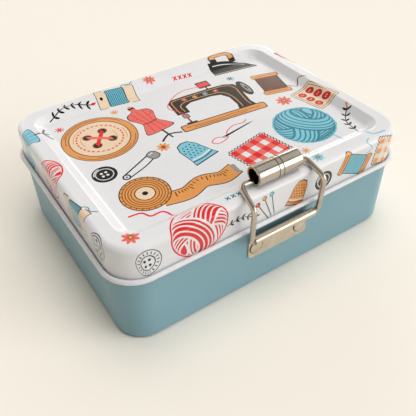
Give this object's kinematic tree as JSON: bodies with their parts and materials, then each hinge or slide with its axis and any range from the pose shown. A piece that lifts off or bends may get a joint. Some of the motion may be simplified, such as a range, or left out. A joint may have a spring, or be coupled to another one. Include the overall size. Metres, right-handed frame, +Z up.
{
  "type": "hinged tin box",
  "caption": "Rounded tinplate box with a rolled rim, hinged lid with a sunk panel, and a wire latch with a roller.",
  "frame": {"origin": "centre of the bottom face, on the surface that the tin stands on", "axes": "+X to the right along the length, +Y from the latch to the hinges, +Z up"},
  "size_m": [0.206, 0.1684, 0.0838],
  "materials": {
    "base_enamel": "satin blue-green enamel outside, white inside and on the rim",
    "lid_print": "gloss white with printed sewing motifs, white inside",
    "nickel_plate": "warm nickel plate, bright"
  },
  "bodies": {
    "base": {"base_shell": "base_enamel", "latch_plate": "nickel_plate", "latch_rivet_left": "nickel_plate", "latch_rivet_right": "nickel_plate", "hinge_left_base_leaf": "nickel_plate", "hinge_left_pin": "nickel_plate", "hinge_left_base_rivet_left": "nickel_plate", "hinge_left_base_rivet_right": "nickel_plate", "hinge_right_base_leaf": "nickel_plate", "hinge_right_pin": "nickel_plate", "hinge_right_base_rivet_left": "nickel_plate", "hinge_right_base_rivet_right": "nickel_plate"},
    "lid": {"lid_shell": "lid_print", "hinge_left_lid_leaf": "nickel_plate", "hinge_left_lid_rivet_left": "nickel_plate", "hinge_left_lid_rivet_right": "nickel_plate", "hinge_right_lid_leaf": "nickel_plate", "hinge_right_lid_rivet_left": "nickel_plate", "hinge_right_lid_rivet_right": "nickel_plate"},
    "bail": {"latch_bail": "nickel_plate"},
    "roller": {"latch_roller": "nickel_plate"}
  },
  "joints": [
    {"name": "lid_hinge", "type": "hinge", "parent": "base", "child": "lid", "pos_m": [0, 0.08141, 0.051], "axis": [-1, 0, 0], "range_deg": [0, 105]},
    {"name": "bail_pivot", "type": "hinge", "parent": "base", "child": "bail", "pos_m": [0.0008, -0.08138, 0.0443], "axis": [1, 0, 0], "range_deg": [0, 180]},
    {"name": "roller_spin", "type": "hinge", "parent": "bail", "child": "roller", "pos_m": [0.002, -0.0684, 0.07775], "axis": [1, 0, 0], "continuous": true}
  ]
}
